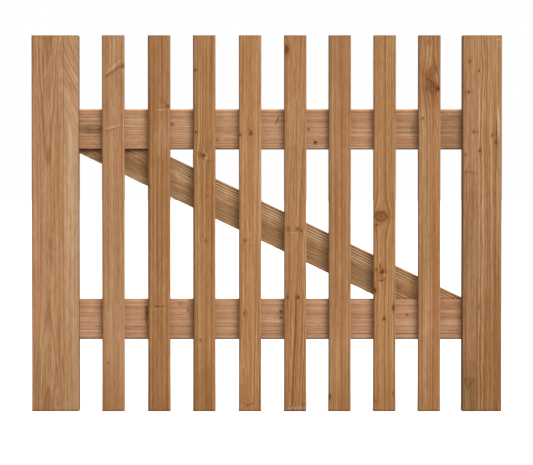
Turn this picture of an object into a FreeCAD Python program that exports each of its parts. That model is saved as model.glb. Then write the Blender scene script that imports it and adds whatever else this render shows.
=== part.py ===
import FreeCAD, Part
import math
import os

# A bare picket gate leaf in planed softwood: two glue-laminated stiles, two rails tenoned and
# pinned into them, pickets screwed on from behind, and one diagonal brace between the rails.
#
# +X runs from the latch stile to the hinge stile, +Y from the picket side to the back, +Z up.
# The origin is on the ground line, halfway along the leaf and halfway through its depth.
# All sizes are in millimetres.

# ---- the whole leaf ----
LEAF_WIDTH = 1000.0
LEAF_HEIGHT = 800.0
LEAF_DEPTH = 45.0                # the stiles are as deep as the leaf

LEFT_X = -LEAF_WIDTH / 2
RIGHT_X = LEAF_WIDTH / 2
FRONT_Y = -LEAF_DEPTH / 2
BACK_Y = LEAF_DEPTH / 2

# ---- stiles ----
LATCH_STILE_WIDTH = 100.0
LATCH_INNER_LAMELLA_WIDTH = 32.0   # the strip next to the pickets
HINGE_STILE_WIDTH = 84.0
HINGE_INNER_LAMELLA_WIDTH = 30.0
STILE_ARRIS_RADIUS = 3.0
END_BREAK = 0.8                  # chamfer around every sawn end
BAY_LEFT_X = LEFT_X + LATCH_STILE_WIDTH
BAY_RIGHT_X = RIGHT_X - HINGE_STILE_WIDTH
BAY_WIDTH = BAY_RIGHT_X - BAY_LEFT_X

# The hinge stile's inner lamella is joined from three lengths.
HEAD_JOINT_Z = 510.0
HEAD_JOINT_FINGERS = 4
HEAD_JOINT_FINGER_DEPTH = 12.0
FOOT_JOINT_Z = 69.0
FOOT_WEDGE_LEFT = 5.5            # from the stile's inner edge
FOOT_WEDGE_TIP = 11.5
FOOT_WEDGE_RIGHT = 21.5
FOOT_WEDGE_DEPTH = 29.0

# ---- rails ----
RAIL_HEIGHT = 86.0
RAIL_THICKNESS = 28.0            # the rails are flush with the back of the stiles
RAIL_ARRIS_RADIUS = 3.0
LOWER_RAIL_Z = 152.5
UPPER_RAIL_Z = 557.5
RAIL_FRONT_Y = BACK_Y - RAIL_THICKNESS

TENON_LENGTH = 45.0
TENON_THICKNESS = 14.0
TENON_HEIGHT = 66.0

# ---- pins through the tenons, blind from the back ----
PIN_DIAMETER = 8.0
PIN_LENGTH = 33.0
PIN_INSET = 16.0                 # from the stile's inner edge
PIN_HALF_SPACING = 20.0
PIN_FIT = 0.05

# ---- pickets ----
PICKET_WIDTH = 48.0
PICKET_THICKNESS = 17.0
PICKET_ARRIS_RADIUS = 2.2
PICKET_PITCH = 96.0
FIRST_GAP = 50.0                 # latch stile to the first picket
PICKET_SET_OUT = (-0.5, 1.0, 1.0, 2.5, 2.5, 1.0, 0.5, -0.5)   # how far each was nailed off the pitch

# ---- brace ----
BRACE_WIDTH = 78.0
BRACE_THICKNESS = 18.0           # flush with the back, so its front lies behind the rails' front
BRACE_ARRIS_RADIUS = 1.5
BRACE_HEAD_HEEL = 8.5            # the short upright cut where its lower edge meets the latch stile
BRACE_FOOT_HEEL = 3.5            # and where its upper edge meets the hinge stile

# ---- screws, 4 x 40 countersunk ----
SCREW_LENGTH = 40.0
SCREW_HEAD_RADIUS = 4.0
SCREW_HEAD_RIM = 0.4
SCREW_SHANK_RADIUS = 1.5
SCREW_SHANK_END = 15.0
SCREW_CORE_RADIUS = 1.25
SCREW_THREAD_RADIUS = 2.0
SCREW_THREAD_PITCH = 1.8
SCREW_TIP_LENGTH = 4.0
SCREW_FIT = 0.05
RECESS_OUTER_RADIUS = 1.95
RECESS_INNER_RADIUS = 1.4
RECESS_DEPTH = 1.8
RECESS_LOBES = 6
SCREW_OFFSET_X = 9.0             # two per crossing, set on a diagonal so that the picket won't split
SCREW_OFFSET_Z = 22.0
TOE_ANGLE = 30.0                 # between a toe screw and the upright
TOE_HEAD_SINK = 4.0              # head centre below the brace's back
TOE_HEAD_DROP = 14.7             # head centre from the brace's sawn end
TOE_DISTANCES = (60.0, 128.0)    # from the stile beside it
TOE_POCKET_LENGTH = 12.0

X_AXIS = FreeCAD.Vector(1, 0, 0)
Y_AXIS = FreeCAD.Vector(0, 1, 0)
Z_AXIS = FreeCAD.Vector(0, 0, 1)
ORIGIN = FreeCAD.Vector(0, 0, 0)


def box(x0, x1, y0, y1, z0, z1):
    return Part.makeBox(x1 - x0, y1 - y0, z1 - z0, FreeCAD.Vector(x0, y0, z0))


def board(width, thickness, length, radius):
    """A board with eased long arrises: width along X, thickness along Y, length along Z."""
    blank = Part.makeBox(width, thickness, length)
    long_edges = [edge for edge in blank.Edges if abs(edge.tangentAt(edge.FirstParameter).z) > 0.5]
    return blank.makeFillet(radius, long_edges)


def break_ends(upright, z_low, z_high):
    """Chamfer both sawn ends of an upright board."""
    ends = []
    for edge in upright.Edges:
        span = edge.BoundBox
        flat = span.ZLength < 1e-6
        if flat and (abs(span.ZMin - z_low) < 1e-6 or abs(span.ZMin - z_high) < 1e-6):
            ends.append(edge)
    return upright.makeChamfer(END_BREAK, ends)


def prism(points, direction):
    """A closed polygon of points swept along a vector."""
    corners = [FreeCAD.Vector(*point) for point in points]
    return Part.Face(Part.makePolygon(corners + corners[:1])).extrude(direction)


def turned(profile):
    """A profile of (radius, height) points turned about Z."""
    corners = [FreeCAD.Vector(radius, 0, height) for radius, height in profile]
    return Part.Face(Part.makePolygon(corners + corners[:1])).revolve(ORIGIN, Z_AXIS, 360)


def placed(shape, position, tilt):
    """Turn a shape that points along +Z about X by tilt degrees, then move it."""
    copy = shape.copy()
    copy.Placement = FreeCAD.Placement(position, FreeCAD.Rotation(X_AXIS, tilt))
    return copy


# ---- screws ----

def screw():
    """Head at the origin, point along +Z. The thread is a row of saw teeth, not a helix."""
    neck = SCREW_HEAD_RIM + SCREW_HEAD_RADIUS - SCREW_SHANK_RADIUS
    thread_end = SCREW_LENGTH - SCREW_TIP_LENGTH
    teeth = int((thread_end - SCREW_SHANK_END) / SCREW_THREAD_PITCH)
    profile = [(0, 0), (SCREW_HEAD_RADIUS, 0), (SCREW_HEAD_RADIUS, SCREW_HEAD_RIM)]
    profile += [(SCREW_SHANK_RADIUS, neck), (SCREW_SHANK_RADIUS, SCREW_SHANK_END)]
    for tooth in range(teeth):
        start = SCREW_SHANK_END + tooth * SCREW_THREAD_PITCH
        profile.append((SCREW_CORE_RADIUS, start + 0.2 * SCREW_THREAD_PITCH))
        profile.append((SCREW_THREAD_RADIUS, start + 0.6 * SCREW_THREAD_PITCH))
        profile.append((SCREW_CORE_RADIUS, start + SCREW_THREAD_PITCH))
    profile += [(SCREW_CORE_RADIUS, thread_end), (0, SCREW_LENGTH)]

    lobes = []
    for corner in range(2 * RECESS_LOBES):
        angle = math.pi * corner / RECESS_LOBES
        radius = RECESS_OUTER_RADIUS if corner % 2 == 0 else RECESS_INNER_RADIUS
        lobes.append((radius * math.cos(angle), radius * math.sin(angle), 0))
    return turned(profile).cut(prism(lobes, Z_AXIS * RECESS_DEPTH))


def screw_bore(pocket=0.0):
    """The hole that a screw fills, with a pocket behind the head if it is driven at a slant."""
    head = SCREW_HEAD_RADIUS + SCREW_FIT
    thread = SCREW_THREAD_RADIUS + SCREW_FIT
    rim = SCREW_HEAD_RIM + SCREW_FIT
    tip = SCREW_LENGTH - SCREW_TIP_LENGTH
    profile = [(0, -pocket), (head, -pocket), (head, rim), (thread, rim + head - thread)]
    profile += [(thread, tip), (0, SCREW_LENGTH + SCREW_FIT)]
    return turned(profile)


def picket_left(index):
    return BAY_LEFT_X + FIRST_GAP + index * PICKET_PITCH + PICKET_SET_OUT[index]


def crossing_spots(rail_z):
    """Where the screws of one rail start, on the leaf's back."""
    middle_z = rail_z + RAIL_HEIGHT / 2
    spots = []
    for index in range(len(PICKET_SET_OUT)):
        middle_x = picket_left(index) + PICKET_WIDTH / 2
        for side in (-1, 1):
            spots.append(FreeCAD.Vector(middle_x + side * SCREW_OFFSET_X, BACK_Y,
                                        middle_z - side * SCREW_OFFSET_Z))
    return spots


def toe_spots():
    """Each toe screw's head centre and tilt: two at the brace's upper end, two at its lower end."""
    y = BACK_Y - TOE_HEAD_SINK
    upper_z = UPPER_RAIL_Z - TOE_HEAD_DROP
    lower_z = LOWER_RAIL_Z + RAIL_HEIGHT + TOE_HEAD_DROP
    spots = []
    for distance in TOE_DISTANCES:
        spots.append((FreeCAD.Vector(BAY_LEFT_X + distance, y, upper_z), TOE_ANGLE))
        spots.append((FreeCAD.Vector(BAY_RIGHT_X - distance, y, lower_z), 180 - TOE_ANGLE))
    return spots


def picket_screws(rail_z):
    return [placed(screw(), spot, 90) for spot in crossing_spots(rail_z)]


def picket_screw_bores(rail_z):
    return [placed(screw_bore(), spot, 90) for spot in crossing_spots(rail_z)]


def brace_screws():
    return [placed(screw(), spot, tilt) for spot, tilt in toe_spots()]


def brace_screw_bores():
    return [placed(screw_bore(TOE_POCKET_LENGTH), spot, tilt) for spot, tilt in toe_spots()]


# ---- tenon pins ----

def pins(rail_z, fit=0.0):
    """The four pins of one rail, or with a fit, the holes that they stand in."""
    radius = PIN_DIAMETER / 2 + fit
    middle_z = rail_z + RAIL_HEIGHT / 2
    solids = []
    for x in (BAY_LEFT_X - PIN_INSET, BAY_RIGHT_X + PIN_INSET):
        for side in (-1, 1):
            start = FreeCAD.Vector(x, BACK_Y, middle_z + side * PIN_HALF_SPACING)
            solids.append(Part.makeCylinder(radius, PIN_LENGTH + fit, start, -Y_AXIS))
    return solids


# ---- stiles ----

def tenon(rail_z):
    """The two tenons of a rail as one bar that runs through the bay."""
    middle_y = (RAIL_FRONT_Y + BACK_Y) / 2
    z0 = rail_z + (RAIL_HEIGHT - TENON_HEIGHT) / 2
    return box(BAY_LEFT_X - TENON_LENGTH, BAY_RIGHT_X + TENON_LENGTH,
               middle_y - TENON_THICKNESS / 2, middle_y + TENON_THICKNESS / 2,
               z0, z0 + TENON_HEIGHT)


def stile(x, width):
    """A whole stile with its mortises and pin holes, before it is divided at the glue lines."""
    blank = board(width, LEAF_DEPTH, LEAF_HEIGHT, STILE_ARRIS_RADIUS)
    blank.translate(FreeCAD.Vector(x, FRONT_Y, 0))
    blank = break_ends(blank, 0, LEAF_HEIGHT)
    for rail_z in (LOWER_RAIL_Z, UPPER_RAIL_Z):
        blank = blank.cut([tenon(rail_z)] + pins(rail_z, PIN_FIT))
    return blank


def strip(x0, x1):
    """All of the leaf between two upright planes."""
    return box(x0, x1, FRONT_Y, BACK_Y, 0, LEAF_HEIGHT)


def latch_stile():
    glue_x = BAY_LEFT_X - LATCH_INNER_LAMELLA_WIDTH
    whole = stile(LEFT_X, LATCH_STILE_WIDTH)
    return {
        "latch_stile_outer_lamella": whole.common(strip(LEFT_X, glue_x)),
        "latch_stile_inner_lamella": whole.common(strip(glue_x, BAY_LEFT_X)),
    }


def head_length_space(glue_x):
    """The space above the head joint, whose fingers run through the stile's depth."""
    half = LEAF_DEPTH / HEAD_JOINT_FINGERS / 2
    outline = [(BAY_RIGHT_X, BACK_Y, LEAF_HEIGHT), (BAY_RIGHT_X, FRONT_Y, LEAF_HEIGHT)]
    for finger in range(HEAD_JOINT_FINGERS):
        root_y = FRONT_Y + 2 * half * finger
        outline.append((BAY_RIGHT_X, root_y, HEAD_JOINT_Z))
        outline.append((BAY_RIGHT_X, root_y + half, HEAD_JOINT_Z - HEAD_JOINT_FINGER_DEPTH))
    outline.append((BAY_RIGHT_X, BACK_Y, HEAD_JOINT_Z))
    return prism(outline, X_AXIS * (glue_x - BAY_RIGHT_X))


def foot_length_space(glue_x):
    """The space below the foot joint, less the wedge-shaped finger that comes down into it."""
    outline = [(BAY_RIGHT_X, FRONT_Y, 0), (BAY_RIGHT_X, FRONT_Y, FOOT_JOINT_Z),
               (BAY_RIGHT_X + FOOT_WEDGE_LEFT, FRONT_Y, FOOT_JOINT_Z),
               (BAY_RIGHT_X + FOOT_WEDGE_TIP, FRONT_Y, FOOT_JOINT_Z - FOOT_WEDGE_DEPTH),
               (BAY_RIGHT_X + FOOT_WEDGE_RIGHT, FRONT_Y, FOOT_JOINT_Z),
               (glue_x, FRONT_Y, FOOT_JOINT_Z), (glue_x, FRONT_Y, 0)]
    return prism(outline, Y_AXIS * LEAF_DEPTH)


def hinge_stile():
    glue_x = BAY_RIGHT_X + HINGE_INNER_LAMELLA_WIDTH
    whole = stile(BAY_RIGHT_X, HINGE_STILE_WIDTH)
    inner = whole.common(strip(BAY_RIGHT_X, glue_x))
    head_space = head_length_space(glue_x)
    foot_space = foot_length_space(glue_x)
    return {
        "hinge_stile_outer_lamella": whole.common(strip(glue_x, RIGHT_X)),
        "hinge_stile_inner_head": inner.common(head_space),
        "hinge_stile_inner_middle": inner.cut([head_space, foot_space]),
        "hinge_stile_inner_foot": inner.common(foot_space),
    }


# ---- rails, pickets and brace ----

def rail(rail_z):
    """A rail between its shoulders, with a tenon at each end."""
    blank = board(RAIL_HEIGHT, RAIL_THICKNESS, BAY_WIDTH, RAIL_ARRIS_RADIUS)
    top = FreeCAD.Vector(BAY_LEFT_X, RAIL_FRONT_Y, rail_z + RAIL_HEIGHT)
    blank.Placement = FreeCAD.Placement(top, FreeCAD.Rotation(Y_AXIS, 90))
    whole = blank.fuse(tenon(rail_z)).removeSplitter()
    return whole.cut(pins(rail_z, PIN_FIT) + picket_screw_bores(rail_z) + brace_screw_bores())


def picket(index, bores):
    upright = board(PICKET_WIDTH, PICKET_THICKNESS, LEAF_HEIGHT, PICKET_ARRIS_RADIUS)
    upright.translate(FreeCAD.Vector(picket_left(index), FRONT_Y, 0))
    return break_ends(upright, 0, LEAF_HEIGHT).cut(bores[index])


def pickets():
    """Every picket, each bored only by its own four screws."""
    lower = picket_screw_bores(LOWER_RAIL_Z)
    upper = picket_screw_bores(UPPER_RAIL_Z)
    count = len(PICKET_SET_OUT)
    bores = [lower[2 * index:2 * index + 2] + upper[2 * index:2 * index + 2]
             for index in range(count)]
    return {f"picket_{index + 1}": picket(index, bores) for index in range(count)}


def brace_slope(drop):
    """The slope of a board whose lower edge starts at the latch stile and whose upper edge ends at
    the hinge stile, drop lower.

    A board of width w at the slope a fits when BAY_WIDTH * sin(a) - drop * cos(a) = w.
    """
    return math.atan2(drop, BAY_WIDTH) + math.asin(BRACE_WIDTH / math.hypot(drop, BAY_WIDTH))


def brace():
    """A board laid along the diagonal and sawn off level with the rails, with a heel at each stile."""
    low = LOWER_RAIL_Z + RAIL_HEIGHT
    start = UPPER_RAIL_Z - BRACE_HEAD_HEEL
    end = low + BRACE_FOOT_HEEL
    length = 1.5 * BAY_WIDTH
    blank = board(BRACE_WIDTH, BRACE_THICKNESS, length, BRACE_ARRIS_RADIUS)
    blank.translate(FreeCAD.Vector(-BRACE_WIDTH / 2, BACK_Y - BRACE_THICKNESS, -length / 2))
    blank.rotate(ORIGIN, Y_AXIS, 90 + math.degrees(brace_slope(start - end)))
    blank.translate(FreeCAD.Vector((BAY_LEFT_X + BAY_RIGHT_X) / 2, 0, (start + end) / 2))
    bay = box(BAY_LEFT_X, BAY_RIGHT_X, FRONT_Y, BACK_Y, low, UPPER_RAIL_Z)
    return blank.common(bay).cut(brace_screw_bores())


# ---- the leaf ----

def pieces():
    parts = {}
    parts.update(latch_stile())
    parts.update(hinge_stile())
    parts["upper_rail"] = rail(UPPER_RAIL_Z)
    parts["lower_rail"] = rail(LOWER_RAIL_Z)
    parts.update(pickets())
    parts["brace"] = brace()
    parts["upper_rail_pins"] = Part.makeCompound(pins(UPPER_RAIL_Z))
    parts["lower_rail_pins"] = Part.makeCompound(pins(LOWER_RAIL_Z))
    parts["upper_rail_screws"] = Part.makeCompound(picket_screws(UPPER_RAIL_Z))
    parts["lower_rail_screws"] = Part.makeCompound(picket_screws(LOWER_RAIL_Z))
    parts["brace_screws"] = Part.makeCompound(brace_screws())
    return parts


os.makedirs("parts", exist_ok=True)
for node, shape in pieces().items():
    shape.exportStep(f"parts/{node}.step")
    print(node, len(shape.Solids), "solids, volume", round(shape.Volume / 1000), "cm3")
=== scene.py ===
# %% [markdown]
# # A picket gate leaf in oiled brown softwood
# The joiner's drawing is already done: every board, tenon, pin and screw arrives as the frame, in
# metres, with +X towards the hinge stile, +Y towards the back and +Z up. This lesson dresses that
# frame: it planes each board anew with eased arrises and small marks of use, and then grows the
# wood's figure through it, ring by ring, so that front, edge and sawn end agree with each other.

# %% Load the frame
import math
from collections import namedtuple

import bmesh
import bpy
import numpy as np
from mathutils import Matrix, Vector, noise


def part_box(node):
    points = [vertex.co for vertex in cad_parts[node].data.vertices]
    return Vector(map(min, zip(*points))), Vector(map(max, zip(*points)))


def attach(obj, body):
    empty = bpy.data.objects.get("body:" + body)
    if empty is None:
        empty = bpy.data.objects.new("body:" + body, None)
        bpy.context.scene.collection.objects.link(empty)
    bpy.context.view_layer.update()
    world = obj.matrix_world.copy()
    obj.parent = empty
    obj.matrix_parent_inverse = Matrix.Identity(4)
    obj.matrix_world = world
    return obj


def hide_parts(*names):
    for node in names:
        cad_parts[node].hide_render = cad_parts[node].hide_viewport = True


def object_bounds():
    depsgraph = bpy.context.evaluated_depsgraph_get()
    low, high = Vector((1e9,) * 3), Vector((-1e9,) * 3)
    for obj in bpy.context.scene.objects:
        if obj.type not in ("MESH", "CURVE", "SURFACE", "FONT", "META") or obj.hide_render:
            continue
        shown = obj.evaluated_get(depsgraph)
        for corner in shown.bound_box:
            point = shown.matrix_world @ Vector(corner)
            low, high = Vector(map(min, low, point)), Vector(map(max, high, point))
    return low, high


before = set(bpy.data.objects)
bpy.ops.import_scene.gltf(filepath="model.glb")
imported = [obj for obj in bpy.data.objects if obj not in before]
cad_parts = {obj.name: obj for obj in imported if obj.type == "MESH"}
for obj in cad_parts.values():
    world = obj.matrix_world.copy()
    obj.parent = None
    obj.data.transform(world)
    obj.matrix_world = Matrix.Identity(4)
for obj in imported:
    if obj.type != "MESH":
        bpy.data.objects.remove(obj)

CAD_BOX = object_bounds()
print("nodes in the frame:", len(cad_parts))
print("the leaf's box:", [[round(v, 4) for v in corner] for corner in CAD_BOX])


def new_object(name, data):
    thing = bpy.data.objects.new(name, data)
    bpy.context.scene.collection.objects.link(thing)
    return thing

# %% [markdown]
# ## Where the eye is
# The leaf is looked at squarely and from far away through a long lens, so its uprights stay
# upright and hardly any of the boards' edges show. A long lens is a better choice than an
# orthographic camera: it keeps the small convergence that tells the eye how deep the leaf is.

# %% Camera
FRONT_Y = CAD_BOX[0][1]
CAMERA_DISTANCE = 6
CAMERA_PITCH = math.radians(1.5)
VIEW_WIDTH = 1.1335               # metres across the picture, at the leaf's front
AIM = Vector((-0.0006, FRONT_Y, 0.381))

camera = new_object("camera", bpy.data.cameras.new("camera"))
camera.data.sensor_width = 36
camera.data.lens = camera.data.sensor_width * CAMERA_DISTANCE / VIEW_WIDTH
camera.data.clip_end = 100
camera.location = AIM + CAMERA_DISTANCE * Vector((0, -math.cos(CAMERA_PITCH), math.sin(CAMERA_PITCH)))
camera.rotation_euler = (math.pi / 2 - CAMERA_PITCH, 0, 0)
bpy.context.scene.camera = camera
print("lens", round(camera.data.lens), "mm at", CAMERA_DISTANCE, "m")

# %% [markdown]
# ## Small tools for building node trees
# A shader tree written out node by node is hard to read. These helpers let a line of the script
# look like the sum that it stands for: a value may be a number or another node's socket, and a new
# node goes into the tree that its sockets belong to.

# %% Node helpers
SIGNS = {"+": "ADD", "-": "SUBTRACT", "*": "MULTIPLY", "/": "DIVIDE", "*+": "MULTIPLY_ADD"}


def feed(socket, value):
    """Link a socket, or set its number."""
    if isinstance(value, bpy.types.NodeSocket):
        socket.id_data.links.new(value, socket)
    else:
        socket.default_value = value


def add(tree, kind, *values, **named):
    """A node. Names in small letters are its settings, the others its inputs with _ for a space."""
    node = tree.nodes.new("ShaderNode" + kind)
    for name, value in named.items():
        if name.islower():
            setattr(node, name, value)
    for socket, value in zip(node.inputs, values):
        feed(socket, value)
    for name, value in named.items():
        if not name.islower():
            feed(node.inputs[name.replace("_", " ")], value)
    return node


def beside(kind, *values, **named):
    """A node in the tree of the first socket that it is fed from."""
    sources = [value for value in (*values, *named.values()) if isinstance(value, bpy.types.NodeSocket)]
    return add(sources[0].id_data, kind, *values, **named)


def calc(sign, *values):
    """A Math node over numbers or sockets."""
    return beside("Math", *values, operation=SIGNS.get(sign, sign)).outputs[0]


def vector(sign, *values, **named):
    """A Vector Math node over vectors or sockets."""
    return beside("VectorMath", *values, operation=SIGNS.get(sign, sign), **named).outputs[0]


def ease(value, low, high, start=0, end=1):
    """A smooth step: start below low, end above high."""
    step = beside("MapRange", value, low, high, start, end, interpolation_type="SMOOTHSTEP")
    return step.outputs["Result"]


def drop(value, low, high):
    """A smooth step down from 1 to 0."""
    return ease(value, low, high, 1, 0)


def hypotenuse(across, along):
    return calc("SQRT", calc("*+", across, across, calc("*", along, along)))


def split(socket):
    return beside("SeparateXYZ", socket).outputs


def cloud(where, detail=2, roughness=0.5):
    """Noise. Its frequency is set by scaling the coordinate that it reads."""
    return beside("TexNoise", Vector=where, Scale=1, Detail=detail, Roughness=roughness)


def blend(share, first, second):
    """Mix two colours."""
    return beside("Mix", data_type="RGBA", Factor=share, A=first, B=second).outputs["Result"]


def object_place(tree):
    return add(tree, "TexCoord").outputs["Object"]


def opaque(colour):
    return (*colour, 1)


def start_group(name, inputs, outputs):
    """A node group. Inputs give each name its default, and outputs are the names of its values."""
    tree = bpy.data.node_groups.new(name, "ShaderNodeTree")
    for label, default in inputs.items():
        kind = "NodeSocketVector" if isinstance(default, tuple) else "NodeSocketFloat"
        socket = tree.interface.new_socket(name=label, in_out="INPUT", socket_type=kind)
        socket.default_value = default
    for label in outputs:
        tree.interface.new_socket(name=label, in_out="OUTPUT", socket_type="NodeSocketFloat")
    return tree, tree.nodes.new("NodeGroupInput").outputs, tree.nodes.new("NodeGroupOutput").inputs


def start_material(name):
    material = bpy.data.materials.new(name)
    material.use_nodes = True
    return material, material.node_tree, material.node_tree.nodes["Principled BSDF"].inputs

# %% [markdown]
# ## Light and floor
# A white studio: one broad lamp high on the right, a weak one low on the left, one straight
# overhead, and a pale world that fills the rest. They lay a graded shadow on the rails at one side
# of each picket and a thin one at the other, which makes thin boards look solid. A world that looks
# white would fill every shadow with its light, so the world and the floor ask which kind of ray has
# come: white for the eye, dimmer for the wood.

# %% Lamps
def sun(name, strength, spread, from_right, height):
    """A lamp without falloff. Its direction is told by two angles: from the right, and up."""
    lamp = bpy.data.lights.new(name, "SUN")
    lamp.energy = strength
    lamp.angle = math.radians(spread)
    thing = new_object(name, lamp)
    turn, lift = math.radians(from_right), math.radians(height)
    towards = Vector((math.sin(turn) * math.cos(lift), -math.cos(turn) * math.cos(lift), math.sin(lift)))
    thing.rotation_euler = towards.to_track_quat("Z", "Y").to_euler()


sun("key_lamp", strength=2.2, spread=36, from_right=27, height=40)
sun("fill_lamp", strength=0.4, spread=40, from_right=-38, height=20)
sun("top_lamp", strength=1, spread=50, from_right=0, height=88)
bpy.context.scene.view_settings.view_transform = "Standard"

# %% World
WORLD_FILL = 0.37
WHITE = (1, 1, 1, 1)


def by_ray(tree, output, seen, lit):
    """Show one shader to the eye, and let every other ray meet the other one."""
    is_eye = add(tree, "LightPath").outputs["Is Camera Ray"]
    choice = add(tree, "MixShader", is_eye, lit.outputs[0], seen.outputs[0])
    add(tree, output, Surface=choice.outputs[0])


world = bpy.data.worlds.new("studio")
bpy.context.scene.world = world
world.use_nodes = True
world_tree = world.node_tree
world_tree.nodes.clear()
sky_seen = add(world_tree, "Background", Color=WHITE, Strength=1)
sky_lit = add(world_tree, "Background", Color=(1, 0.99, 0.97, 1), Strength=WORLD_FILL)
by_ray(world_tree, "OutputWorld", seen=sky_seen, lit=sky_lit)

# %% Floor
FLOOR_SIDE = 60
FLOOR_DROP = 0.0005
FLOOR_SEEN = 0.9
FLOOR_GLOW = 0.6
FLOOR_BOUNCE = 0.3
CORNERS = ((-1, -1), (1, -1), (1, 1), (-1, 1))

floor_mesh = bpy.data.meshes.new("floor")
floor_corners = [(x * FLOOR_SIDE / 2, y * FLOOR_SIDE / 2, 0) for x, y in CORNERS]
floor_mesh.from_pydata(floor_corners, [], [(0, 1, 2, 3)])
floor = new_object("floor", floor_mesh)
floor.location.z = -FLOOR_DROP

paper = bpy.data.materials.new("studio_paper")
paper.use_nodes = True
paper_tree = paper.node_tree
paper_tree.nodes.clear()
pale = add(paper_tree, "BsdfDiffuse", Color=opaque((FLOOR_SEEN,) * 3))
glow = add(paper_tree, "Emission", Strength=FLOOR_GLOW)
paper_seen = add(paper_tree, "AddShader", pale.outputs[0], glow.outputs[0])
paper_lit = add(paper_tree, "BsdfDiffuse", Color=opaque((FLOOR_BOUNCE,) * 3))
by_ray(paper_tree, "OutputMaterial", seen=paper_seen, lit=paper_lit)
floor_mesh.materials.append(paper)

# %% [markdown]
# ## Finding your way inside a board
# Wood has a direction. Every effect below needs to know how far a point lies across the board,
# how deep, and how far along the grain. The pieces keep their place in the leaf's own
# coordinates, so two numbers are enough: the board's middle, and how far its grain is turned
# away from upright about the Y axis.

# %% Board coordinates
BOARD_INPUTS = {"Middle": (0, 0, 0), "Turn": 0, "Seed": 0}
MARK_INPUTS = {"Place": (0, 0, 0), "Turn": 0}
MIDDLE_GREY = (0.5, 0.5, 0.5)     # the mean of a noise's colour


def in_board(given, centre="Middle"):
    """The point being shaded, as (across, depth, along the grain) from the board's middle."""
    from_middle = vector("-", object_place(given[centre].id_data), given[centre])
    back = calc("*", given["Turn"], -1)
    return beside("VectorRotate", rotation_type="Y_AXIS", Vector=from_middle, Angle=back).outputs[0]


def long_cloud(where, across, along, detail=2, roughness=0.5):
    """Noise in board coordinates, drawn out along the grain."""
    return cloud(vector("*", where, (across, across, along)), detail, roughness)

# %% [markdown]
# ## Growth rings
# A softwood board is a slice through a stack of cones around the pith. Painting stripes on it
# would look right on one face only, so the rings are grown in three dimensions: the distance from
# the pith line, divided by the ring width, counts the rings, and its fraction runs from pale
# earlywood to dark latewood. A pith that lies far behind the face gives flat-sawn arches, and one
# far to the side gives straight lines. A trunk that leans or sweeps draws the arches out, a slow and a
# quick wave keep any line from being straight, and knots push the lines aside through Push.

# %% Growth rings group
def make_growth_rings():
    inputs = {"Pith": (0.1, 0.05, 0), "Lean": (0, 0, 0), "Sweep": (0, 0, 0), "Ring width": 0.004,
              "Waver": 0.002, "Wave": 0.0004, "Push": 0}
    tree, given, out = start_group("Growth rings", BOARD_INPUTS | inputs, ("Latewood", "Band"))
    place = in_board(given)
    shifted = vector("+", place, vector("SCALE", (0.37, 0.71, 1.9), Scale=given["Seed"]))

    swings = []
    for across, along, detail, reach in ((9, 2, 1, "Waver"), (45, 13, 2, "Wave")):
        found = long_cloud(shifted, across, along, detail).outputs["Color"]
        found = vector("-", found, MIDDLE_GREY)
        swings.append(vector("SCALE", found, Scale=calc("*", given[reach], 2)))
    swing = split(vector("+", *swings))

    here = split(place)
    pith, lean, sweep = (split(given[label]) for label in ("Pith", "Lean", "Sweep"))
    sides = []
    for axis in (0, 1):
        slope = calc("*+", sweep[axis], here[2], lean[axis])
        centre = calc("*+", slope, here[2], pith[axis])
        sides.append(calc("-", calc("+", swing[axis], here[axis]), centre))
    radius = hypotenuse(calc("+", sides[0], given["Push"]), sides[1])
    count = calc("/", radius, given["Ring width"])

    def from_ring_to_ring(value, step):
        where = calc("*+", value, step, given["Seed"])
        return beside("TexNoise", noise_dimensions="1D", W=where, Scale=1).outputs[0]

    count = calc("*+", from_ring_to_ring(count, 0.43), 2.2, count)
    phase = calc("FRACT", count)
    line = calc("*", ease(phase, 0.25, 0.86), drop(phase, 0.9, 1))
    strength = ease(from_ring_to_ring(calc("FLOOR", count), 0.77), 0.3, 0.7, 0.25, 1)
    feed(out["Latewood"], calc("*", line, strength))
    feed(out["Band"], ease(from_ring_to_ring(count, 0.17), 0.3, 0.7))
    return tree


growth_rings = make_growth_rings()
print(growth_rings.name, "nodes:", len(growth_rings.nodes))

# %% [markdown]
# ## Fibres
# Between the rings the planed surface is streaked: bundles of fibres took the oil differently,
# and the plane tore some of them. Two noises drawn out along the grain do this: long streaks, and
# short torn hairs no longer than a fingernail. A third, hardly stretched, clouds the whole board.

# %% Fibres group
def make_fibres():
    tree, given, out = start_group("Fibres", BOARD_INPUTS | {"Push": 0}, ("Streak", "Hair", "Mottle"))
    place = in_board(given)
    shift = beside("CombineXYZ", X=given["Push"], Z=given["Seed"])
    place = vector("+", place, shift.outputs[0])
    for label, *drawing in (("Streak", 230, 2.6, 3, 0.6),
                            ("Hair", 430, 60, 2, 0.5),
                            ("Mottle", 42, 9, 3, 0.5)):
        feed(out[label], ease(long_cloud(place, *drawing).outputs[0], 0.3, 0.7))
    return tree


fibres = make_fibres()

# %% [markdown]
# ## Knots
# A branch leaves a plug of dark, dense wood that runs through the board, and the trunk's fibres
# flow around it as water flows round a stone. That has a short formula: at a distance rho from a
# plug of radius R, the line that passes here was first at x (1 - R2 / rho2). The group gives that
# sideways push, and masks for the plug, its dark rim, its heart and the stained collar.

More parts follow.
